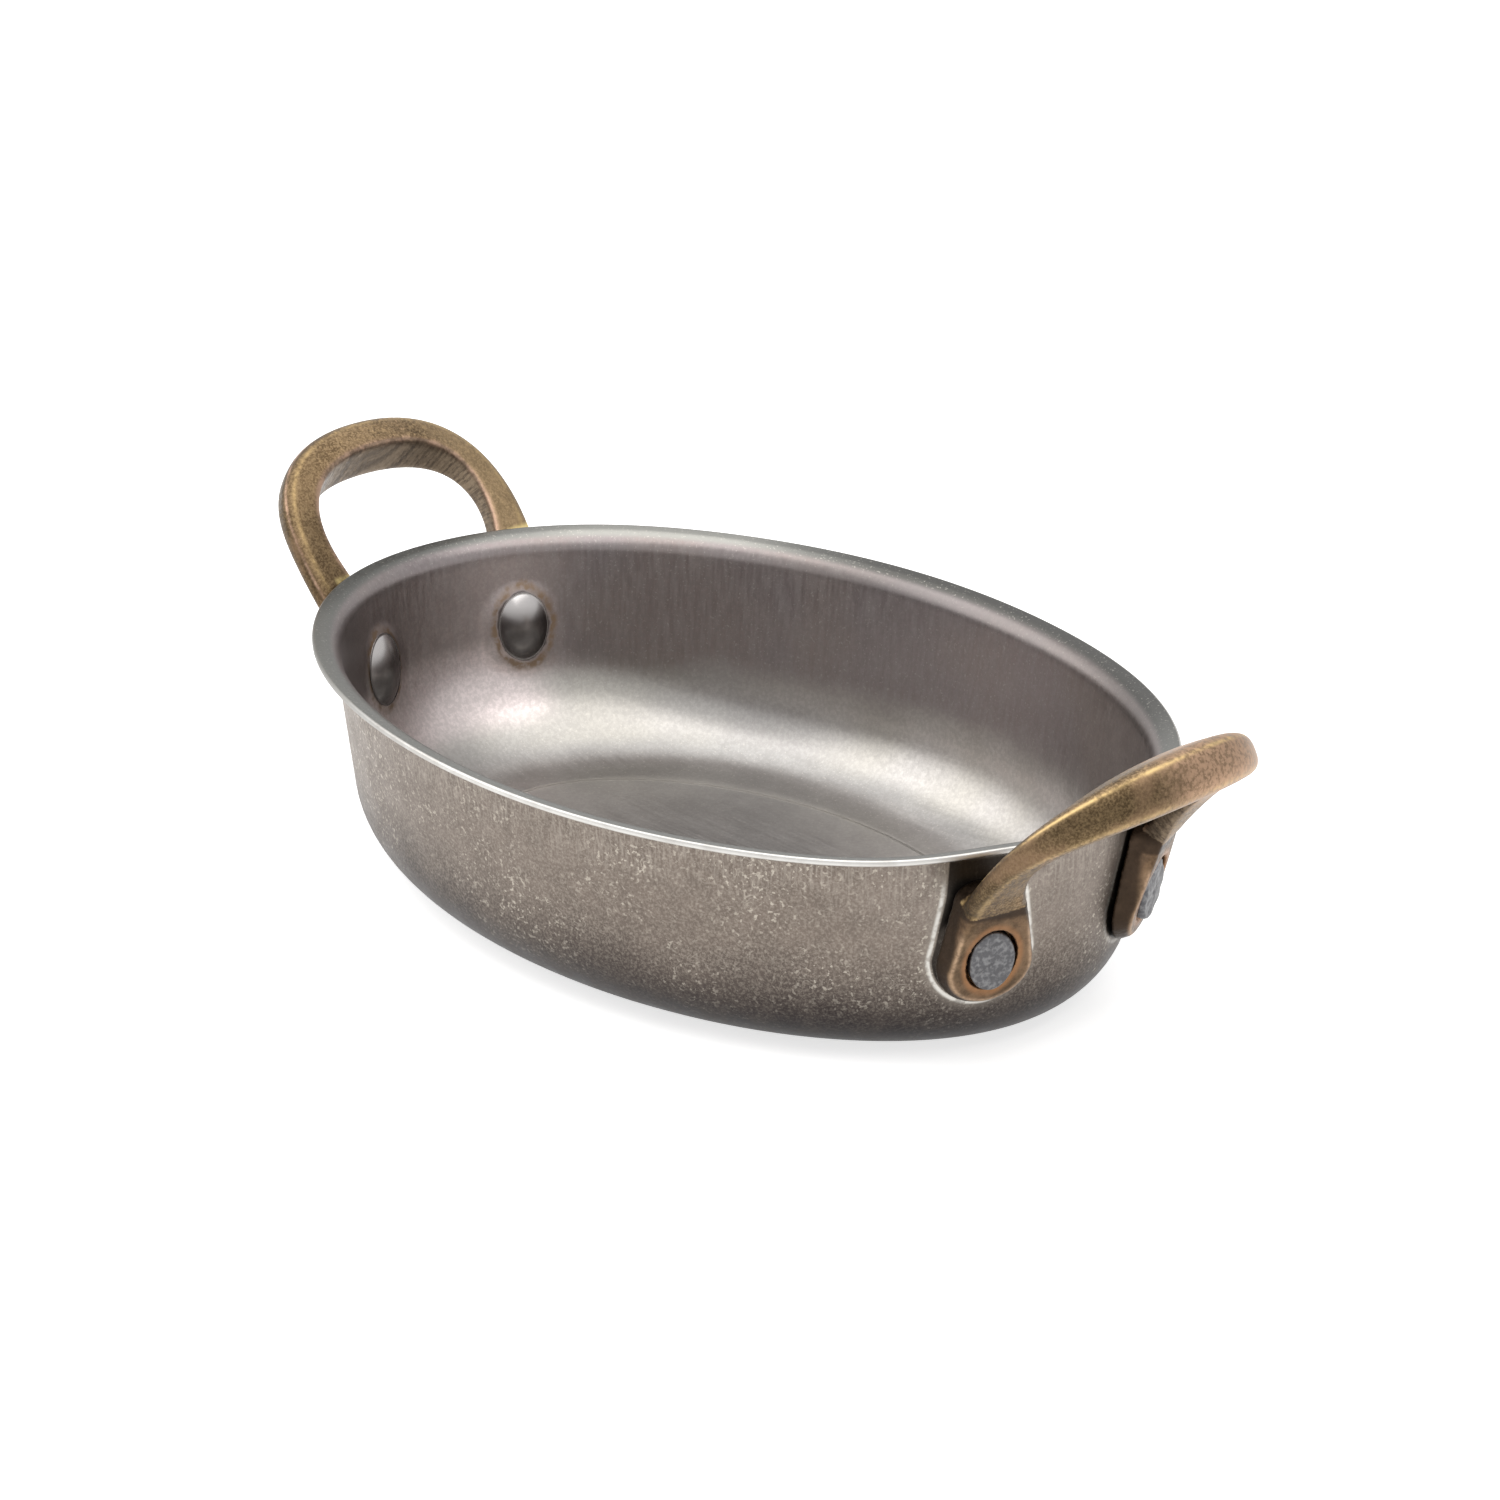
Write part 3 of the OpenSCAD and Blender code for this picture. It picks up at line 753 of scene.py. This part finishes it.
class Surface(Nodes):
    """Nodes of a surface, with x, y and z in metres."""

    def __init__(self, name):
        self.material = bpy.data.materials.new(name)
        super().__init__(self.material)
        self.coord = self.add("ShaderNodeTexCoord").outputs["Object"]
        self.x, self.y, self.z = self.add("ShaderNodeSeparateXYZ", {0: self.coord}).outputs

    def stretched(self, x, y, z, turn=0.0):
        return self.add("ShaderNodeMapping", {"Vector": self.coord, "Scale": (x, y, z),
                                              "Rotation": (0, 0, turn)}).outputs[0]

    def noise(self, scale, detail=2.0, rough=0.5, vector=None, distort=0.0):
        return self.add("ShaderNodeTexNoise", {
            "Vector": vector or self.coord, "Scale": scale, "Detail": detail,
            "Roughness": rough, "Distortion": distort}).outputs[0]

    def range(self, value, low, high, to_low=0.0, to_high=1.0):
        return self.add("ShaderNodeMapRange", {
            "Value": value, "From Min": low, "From Max": high, "To Min": to_low,
            "To Max": to_high}, interpolation_type="SMOOTHSTEP").outputs[0]

    def band(self, value, rise, full, fall, gone):
        """0 up to rise, 1 from full to fall, 0 from gone on."""
        return self.times(self.range(value, rise, full), self.range(value, fall, gone, 1, 0))

    def mix(self, factor, a, b):
        node = self.add("ShaderNodeMix", data_type="RGBA")
        for index, value in ((0, factor), (6, a), (7, b)):
            if hasattr(value, "links"):
                self.tree.links.new(value, node.inputs[index])
            else:
                node.inputs[index].default_value = value if index == 0 else (*value, 1)
        return node.outputs[2]

    def blend(self, factor, a, b):
        return self.add("ShaderNodeMix", {0: factor, 2: a, 3: b}, data_type="FLOAT").outputs[0]

    def attribute(self, name):
        return self.add("ShaderNodeAttribute", attribute_name=name).outputs["Fac"]

    def length(self, a, b):
        return self.math("SQRT", self.math("ADD", self.times(a, a), self.times(b, b)))

    def metal(self, color, rough, height, bump, distance):
        normal = self.add("ShaderNodeBump", {"Height": height, "Strength": bump,
                                             "Distance": distance}).outputs[0]
        shader = self.add("ShaderNodeBsdfPrincipled", {
            "Base Color": color, "Roughness": rough, "Metallic": 1.0, "Normal": normal})
        self.add("ShaderNodeOutputMaterial", {0: shader.outputs[0]})
        return self.material


def pad_distance(n):
    """Distance in mm outside the pad's foot, for a point of the pan."""
    down, side = n.attribute("rivet_down"), n.attribute("rivet_side")
    lean = (PAD_R - PAD_NECK) / (PAD_RISE + PAD_DROP)
    below = n.math("MAXIMUM", n.math("SUBTRACT", down, PAD_DROP), 0)
    over = n.math("MAXIMUM", n.math("SUBTRACT", PAD_DROP, down), 0)
    beside = n.math("MULTIPLY_ADD", over, lean, side)
    return n.math("SUBTRACT", n.length(below, beside), PAD_R)


def outside_color(n):
    """Antiqued taupe, darker and more purple low down, partly its own tone and partly painted
    shade, with pale specks, curls and streaks; painted shade under the lip and a painted highlight
    on its edge.
    """
    patches = n.noise(70, 4, 0.6)
    # darker and more purple low down: partly the outside's own purple tone, partly painted shade of
    # the shadowed floor the lower body reflects; near black at the bottom edge
    low_purple_and_shade = n.range(n.math("MULTIPLY_ADD", patches, 0.010, n.z), 0.009, 0.026, 1, 0)
    base = n.mix(low_purple_and_shade, TAUPE, LOW_PURPLE_AND_SHADE)
    base = n.mix(n.range(n.z, 0.0005, 0.008, 1, 0), base, BOTTOM_PURPLE_AND_SHADE)
    right = n.times(n.range(n.x, 0.052, 0.070), n.range(n.z, 0.014, 0.026, 0, 0.5))
    base = n.mix(right, base, TAUPE_RIGHT)
    cloud = n.noise(260, 4, 0.6)
    base = n.mix(n.range(cloud, 0.38, 0.64, 0, 0.26), base, TAUPE_CLOUD)
    zone = n.range(n.noise(75, 3, 0.6), 0.40, 0.62, 0.25, 1)
    fine = n.range(n.noise(2300, 4, 0.75), 0.42, 0.64)
    fading = n.range(n.z, 0.003, 0.018, 0.12, 1)
    base = n.mix(n.times(n.times(fine, fading), 0.50), base, SPECK)
    flecks = n.times(n.range(n.noise(1500, 2, 0.5), 0.60, 0.66), zone)
    base = n.mix(n.times(n.times(flecks, fading), 0.5), base, CURL)
    for scale, offset in ((440, 0.5), (320, 0.47)):
        curl = n.math("ABSOLUTE", n.math("SUBTRACT", n.noise(scale, 1, 0.5, distort=1.4), offset))
        curls = n.times(n.range(curl, 0.005, 0.014, 1, 0),
                        n.range(n.noise(scale * 0.8, 2), 0.53, 0.62))
        base = n.mix(n.times(n.times(n.times(curls, zone), fading), 0.36), base, CURL)
    streaks = n.noise(1, 3, 0.6, n.stretched(2300, 2300, 130))
    near_lip = n.range(n.z, 0.022, 0.033)
    base = n.mix(n.times(near_lip, n.range(streaks, 0.42, 0.72, 0, 0.6)), base, STREAK)
    # painted shade on the lip's underside; its raw edge bare steel with a painted highlight that
    # grows towards the right
    dark = n.mix(n.attribute("lip_under"), base, UNDER_LIP_SHADE)
    raw_highlight = n.mix(n.range(n.x, -0.06, 0.01), EDGE_LEFT, EDGE_RIGHT_HIGHLIGHT)
    edge = n.times(n.attribute("lip_edge"), n.range(n.noise(300, 2), 0.3, 0.6, 0.8, 1))
    base = n.mix(edge, dark, raw_highlight)
    # clean steel in a line round the pad that has rubbed it
    away, rubbed = pad_distance(n), n.attribute("rubbed")
    line = n.times(n.band(away, 0.20, 0.45, 0.65, 1.10),
                   n.range(n.noise(800, 3), 0.35, 0.55, 0.35, 0.85))
    line = n.times(line, n.times(n.range(n.z, 0.027, 0.031, 1, 0), rubbed))
    below_lip = n.range(n.z, 0.0325, 0.0335, 1, 0)
    halo = n.times(n.range(away, 0.6, 2.4, 0.30, 0), rubbed)
    base = n.mix(n.times(halo, below_lip), base, PAD_HALO)
    base = n.mix(n.times(n.range(away, -0.10, 0.22, 0.9, 0), below_lip), base, PAD_SHADE)
    return n.mix(line, base, PAD_LINE), cloud


def wall_color(n):
    """Light satin corner, partly painted highlight, and floor; purple-brown upper wall that is
    lighter at both ends; painted sheen up the wall, and a painted rosy highlight at the left end.
    """
    flat = n.range(n.z, 0.0025, 0.006, 1, 0)
    # the corner's lighter steel: partly polish, partly painted highlight that brightens the lamp's
    # band
    steel = n.mix(n.range(n.noise(45, 3), 0.38, 0.62), *CORNER_POLISH_AND_SHEEN)
    plate = n.mix(n.range(n.noise(130, 5, 0.65), 0.38, 0.64), *FLOOR_STEEL)
    steel = n.mix(flat, steel, plate)
    # painted sheen, growing towards the right and up the wall
    clear = n.math("MULTIPLY_ADD", n.range(n.x, -0.01, 0.012), 0.2,
                   n.range(n.x, -0.058, -0.046, 0, 0.2))
    clear = n.math("MULTIPLY_ADD", n.range(n.z, 0.009, 0.012),
                   n.range(n.x, -0.044, -0.030, 0, 0.5), clear)
    steel = n.mix(n.times(clear, n.range(n.z, 0.0030, 0.0048)), steel, SHEEN_STEEL)
    # purple reaches lower at the back left, and fades more slowly at the right
    up_wall = n.range(n.math("MULTIPLY_ADD", n.noise(60, 3), 0.006, n.z), 0.0135, 0.0205)
    lower = n.times(n.range(n.x, -0.044, -0.053, 0, 0.45),
                    n.times(n.range(n.y, 0.010, 0.020), n.range(n.z, 0.011, 0.014)))
    up_wall = n.math("ADD", up_wall, lower, clamp=True)
    slower = n.times(n.range(n.x, -0.02, 0.02, 0, 0.45), n.range(n.z, 0.012, 0.021, 1, 0))
    up_wall = n.math("SUBTRACT", up_wall, slower, clamp=True)
    purple = n.mix(n.range(n.noise(38, 2), 0.40, 0.60), *WALL_PURPLE)
    steel = n.mix(n.times(up_wall, 0.85), steel, purple)
    at_ends = n.math("MAXIMUM", n.range(n.x, -0.059, -0.068, 0, 0.95),
                     n.range(n.x, 0.028, 0.045, 0, 0.5))
    at_ends = n.times(at_ends, n.range(n.z, 0.0335, 0.0305))
    steel = n.mix(n.times(at_ends, up_wall), steel, END_WALL)
    golden = n.times(n.range(n.noise(32, 2), 0.44, 0.66), n.range(n.z, 0.010, 0.018, 0.5, 0))
    steel = n.mix(n.times(golden, n.range(n.z, 0.002, 0.004)), steel, GOLDEN)
    # painted rosy highlight low in the left end's inner corner
    rosy_highlight = n.times(n.range(n.x, -0.056, -0.062), n.range(n.z, 0.016, 0.020, 1, 0))
    rosy_highlight = n.times(rosy_highlight, n.times(n.range(n.z, 0.0045, 0.0085), n.range(n.y, 0.020, 0.011)))
    return n.mix(n.times(rosy_highlight, 0.9), steel, ROSY_HIGHLIGHT), flat


def lip_color(n, sparkle):
    """Upper face of the lip, with a painted highlight at the back left and painted shade at the
    left end and along the back; and where that painted shade along the back lies.
    """
    lip_shade = n.times(n.band(n.x, -0.046, -0.016, 0.045, 0.065), n.range(n.y, 0.0, 0.02))
    lip_highlight = n.times(n.range(n.x, -0.030, -0.045), n.range(n.x, -0.071, -0.062))
    lip_highlight = n.times(lip_highlight, n.range(n.y, 0.012, 0.025))
    lip_shade_end = n.times(n.range(n.x, -0.058, -0.068), n.range(n.y, 0.015, 0.003))
    bare = n.mix(lip_highlight, n.mix(lip_shade_end, LIP, LIP_SHADE_END), LIP_HIGHLIGHT)
    bare = n.mix(lip_shade, bare, LIP_SHADE)
    return n.mix(n.times(sparkle, 0.5), bare, LIP_SPARKLE), lip_shade


def inside_color(n):
    """Satin steel, brushed down the wall and across the floor, with a duller lip; painted shade and
    highlight on the lip and the step, and a painted shadow line under the heads.
    """
    steel, flat = wall_color(n)
    wall_brush = n.noise(1, 4, 0.6, n.stretched(1500, 1500, 40))
    floor_brush = n.noise(1, 4, 0.6, n.stretched(60, 1800, 60, -math.radians(46)))
    brush = n.blend(flat, wall_brush, floor_brush)
    steel = n.mix(n.range(brush, 0.3, 0.7, 0.0, 0.18), steel, BRUSHED)
    # sandy grain, and the pressed step round the floor: painted shade in the foot of the corner, a
    # painted highlight along the step, strongest at the left
    steel = n.mix(n.range(n.noise(1500, 4, 0.7), 0.42, 0.62, 0.24, 0), steel, SANDY)
    inward = n.attribute("inward")
    foot = n.times(n.range(n.z, 0.0019, 0.0012), n.range(inward, 0.1, 0.4, 1, 0))
    steel = n.mix(n.times(foot, 0.35), steel, CORNER_FOOT_SHADE)
    edge = n.times(n.band(inward, 0.1, 0.6, 0.9, 2.6), n.range(n.x, -0.02, 0.02, 0.85, 0.05))
    steel = n.mix(edge, steel, STEP_HIGHLIGHT)
    sparkle = n.range(n.noise(2600, 2), 0.60, 0.74)
    steel = n.mix(n.times(sparkle, 0.30), steel, SPARKLE)
    bare, lip_shade = lip_color(n, sparkle)
    # painted shade on the bend inside the lip, below the back's painted shade
    steel = n.mix(n.times(lip_shade, n.range(n.z, 0.0312, 0.0330, 0, 0.5)), steel, LIP_BEND_SHADE)
    steel = n.mix(n.range(n.z, 0.0340, 0.0347), steel, bare)
    # brown bloom round the rivet heads, and a painted shadow line under their rims
    down = n.math("DIVIDE", n.math("ADD", n.attribute("rivet_down"), HEAD_UP), 1.08)
    side = n.math("DIVIDE", n.attribute("rivet_side"), 0.82)
    ring = n.math("ADD", n.length(down, side), n.times(n.noise(420, 3), 1.6))
    bloom = n.times(n.band(ring, 6.0, 6.6, 6.9, 8.0),
                    n.range(n.noise(700, 3), 0.40, 0.60, 0.35, 0.85))
    steel = n.mix(bloom, steel, HEAD_BLOOM)
    return n.mix(n.range(ring, 5.9, 6.3, 0.7, 0), steel, HEAD_SHADOW_LINE), brush


def pan_material():
    n = Surface("pan_steel")
    inside = n.attribute("inside")
    outer, mottled = outside_color(n)
    inner, brush = inside_color(n)
    rough = n.blend(inside, n.range(mottled, 0.3, 0.7, 0.40, 0.49),
                    n.range(brush, 0.3, 0.7, 0.31, 0.39))
    bump = n.blend(inside, mottled, brush)
    return n.metal(n.mix(inside, outer, inner), rough, bump, 0.12, 0.0001)


def bar_color(n, patina, fine):
    """Antiqued brass: dark olive brown with bright edges, partly wear and partly painted highlight,
    painted shade and highlight on the left handle's legs, and a striated inner face.
    """
    grain = n.range(n.noise(2600, 4, 0.65), 0.40, 0.66)
    brown = n.mix(n.range(patina, 0.35, 0.66), *BRASS)
    brown = n.mix(n.range(n.noise(650, 4, 0.6), 0.40, 0.54, 0.5, 0), brown, MOTTLE)
    brown = n.mix(n.times(grain, 0.50), brown, GRAIN)
    brown = n.mix(n.times(n.range(fine, 0.54, 0.66), 0.36), brown, GOLD)
    # painted shade on the left handle's front leg and a painted highlight on its rear leg
    left = n.range(n.x, -0.068, -0.072)
    brown = n.mix(n.times(left, n.range(n.y, -0.004, -0.013, 0, 0.45)), brown, FRONT_LEG_SHADE)
    brown = n.mix(n.times(left, n.range(n.y, 0.008, 0.015, 0, 0.40)), brown, REAR_LEG_HIGHLIGHT)
    pink = n.times(n.range(n.noise(120, 2), 0.56, 0.70), n.range(fine, 0.5, 0.65))
    brown = n.mix(n.times(pink, 0.55), brown, PINK)
    outer = n.attribute("outer")
    brown = n.mix(n.times(outer, 0.75), brown, n.mix(n.times(grain, 0.5), *OUTER_FACE))
    blotch = n.times(n.range(n.noise(120, 3), 0.46, 0.62, 0, 0.45), outer)
    brown = n.mix(blotch, brown, BLOTCH)
    # pinkish tone with a painted highlight at the end of the right handle's loop
    tip = n.times(n.range(n.x, 0.074, 0.080), n.range(n.y, -0.011, 0.000))
    brown = n.mix(n.times(tip, n.range(fine, 0.40, 0.58, 0.35, 0.8)), brown, TIP_PINK_AND_HIGHLIGHT)
    across = n.add("ShaderNodeCombineXYZ", {0: n.times(n.attribute("run"), 3.2),
                                            1: n.times(patina, 1.5)}).outputs[0]
    flat = n.mix(n.range(n.noise(1, 3, 0.65, across), 0.36, 0.64), *INNER_FACE)
    brown = n.mix(n.times(n.attribute("flat"), 0.9), brown, flat)
    # worn bright brass on the bevels, edges and ridge, partly painted highlight along them
    worn = n.range(n.math("MULTIPLY_ADD", fine, 0.5, patina), 0.62, 0.86, 0.25, 1)
    bevel = n.times(n.times(n.attribute("bevel"), worn), 0.75, clamp=True)
    brown = n.mix(bevel, brown, BEVEL_WEAR_AND_HIGHLIGHT)
    edge = n.times(n.math("MAXIMUM", n.attribute("edge"), n.attribute("ridge")), worn)
    return n.mix(n.times(edge, 0.75), brown, EDGE_WEAR_AND_HIGHLIGHT)


def brass_material():
    n = Surface("handle_brass")
    patina, fine = n.noise(190, 5, 0.62), n.noise(1500, 4, 0.6)
    brown = bar_color(n, patina, fine)
    # pads: rusty face, orange round the rivet, painted shade on the flank, in the crease under the
    # leg and over the top, light rim
    rust = n.mix(n.range(n.noise(260, 4, 0.65), 0.40, 0.62), *RUST)
    brown = n.mix(n.times(n.attribute("pad"), 0.85), brown, rust)
    brown = n.mix(n.times(n.attribute("flank_shade"), 0.9), brown, FLANK_SHADE)
    rim = n.times(n.attribute("pad_rim"), n.range(fine, 0.35, 0.6, 0.4, 0.9))
    brown = n.mix(rim, brown, PAD_RIM)
    ring = n.times(n.attribute("ring"), n.range(patina, 0.3, 0.6, 0.45, 0.85))
    brown = n.mix(ring, brown, PAD_RING)
    # bright gleams where the left legs pass the lip
    gleam = n.times(n.attribute("gleam"), n.range(patina, 0.35, 0.55, 0.3, 0.9))
    height = n.math("MULTIPLY_ADD", patina, 1.5, fine)
    rough = n.range(fine, 0.3, 0.7, 0.34, 0.50)
    return n.metal(n.mix(gleam, brown, GLEAM), rough, height, 0.25, 0.0002)


def rivet_material():
    n = Surface("rivet_steel")
    tail = n.attribute("tail")
    head = n.mix(n.range(n.noise(300, 3), 0.4, 0.65), *HEAD)
    # painted highlight on the top of each dome
    head = n.mix(n.range(n.z, 0.0214, 0.0246, 0, 0.85), head, HEAD_TOP_HIGHLIGHT)
    struck = n.mix(n.range(n.noise(1500, 3), 0.42, 0.68), *TAIL)
    rough = n.blend(tail, 0.25, 0.42)
    height = n.times(n.noise(1800, 3, 0.6), tail)
    return n.metal(n.mix(tail, head, struck), rough, height, 0.15, 0.0002)


# ---------------------------------------------------------------- pieces

def dress(obj, material):
    obj.data.materials.clear()
    obj.data.materials.append(material)


steel, brass, iron = pan_material(), brass_material(), rivet_material()
pan = make_pan()
dress(pan, steel)
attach(pan, "root")
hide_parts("pan")
for label, end in (("left", -1), ("right", 1)):
    handle = make_handle(f"{label}_loop_handle", end)
    dress(handle, brass)
    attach(handle, "root")
    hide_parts(f"{label}_handle")
    for row in (-end, end):
        side = side_of(end, row)
        rivet = make_rivet(f"{label}_{side}_stud", end, row, FIRST_SEED + 2 * end + row)
        dress(rivet, iron)
        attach(rivet, "root")
        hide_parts(f"{label}_{side}_rivet")

# ---------------------------------------------------------------- stage

AMBIENT, WHITE, FLOOR_GREY, FLOOR_GLOW, FLOOR_HALF = 0.4, 1.0, 0.86, 0.7, 3.0
LAMP_COLOR, LAMP_AIM = (1.0, 0.985, 0.965), (0, 0, 0.02)

# a plain level of light on the dish, white where the world is seen
world = bpy.data.worlds.new("studio")
bpy.context.scene.world = world
w = Nodes(world)
ambient, white = (w.add("ShaderNodeBackground", {"Color": (1, 1, 1, 1), "Strength": strength})
                  for strength in (AMBIENT, WHITE))
pick = w.add("ShaderNodeMixShader", {0: w.seen(), 1: ambient.outputs[0], 2: white.outputs[0]})
w.add("ShaderNodeOutputWorld", {0: pick.outputs[0]})

# a floor that is white where it is seen and still takes the dish's shadow
floor_white = bpy.data.materials.new("floor_white")
f = Nodes(floor_white)
diffuse = f.add("ShaderNodeBsdfDiffuse", {"Color": (FLOOR_GREY, FLOOR_GREY, FLOOR_GREY, 1)})
glow = f.add("ShaderNodeEmission", {"Color": (1, 1, 1, 1), "Strength": FLOOR_GLOW})
dark = f.add("ShaderNodeEmission", {"Color": (0, 0, 0, 1), "Strength": 0.0})
lit = f.add("ShaderNodeMixShader", {0: f.seen(), 1: dark.outputs[0], 2: glow.outputs[0]})
both = f.add("ShaderNodeAddShader", {0: diffuse.outputs[0], 1: lit.outputs[0]})
f.add("ShaderNodeOutputMaterial", {0: both.outputs[0]})
floor = bpy.data.objects.new("floor", bpy.data.meshes.new("floor"))
corners = [(x * FLOOR_HALF, y * FLOOR_HALF, 0) for x, y in ((-1, -1), (1, -1), (1, 1), (-1, 1))]
floor.data.from_pydata(corners, [], [(0, 1, 2, 3)])
floor.data.materials.append(floor_white)
bpy.context.collection.objects.link(floor)


def area_light(name, where, size, power):
    lamp = bpy.data.lights.new(name, "AREA")
    lamp.shape, lamp.size, lamp.size_y = "RECTANGLE", *size
    lamp.energy, lamp.color = power, LAMP_COLOR
    obj = bpy.data.objects.new(name, lamp)
    obj.location = where
    aim = Vector(LAMP_AIM) - Vector(where)
    obj.rotation_euler = aim.to_track_quat("-Z", "Y").to_euler()
    bpy.context.collection.objects.link(obj)


area_light("above", (0.0, -0.06, 0.98), (1.75, 1.2), 11.5)
area_light("left", (-0.74, -0.50, 0.50), (0.85, 0.7), 3.6)
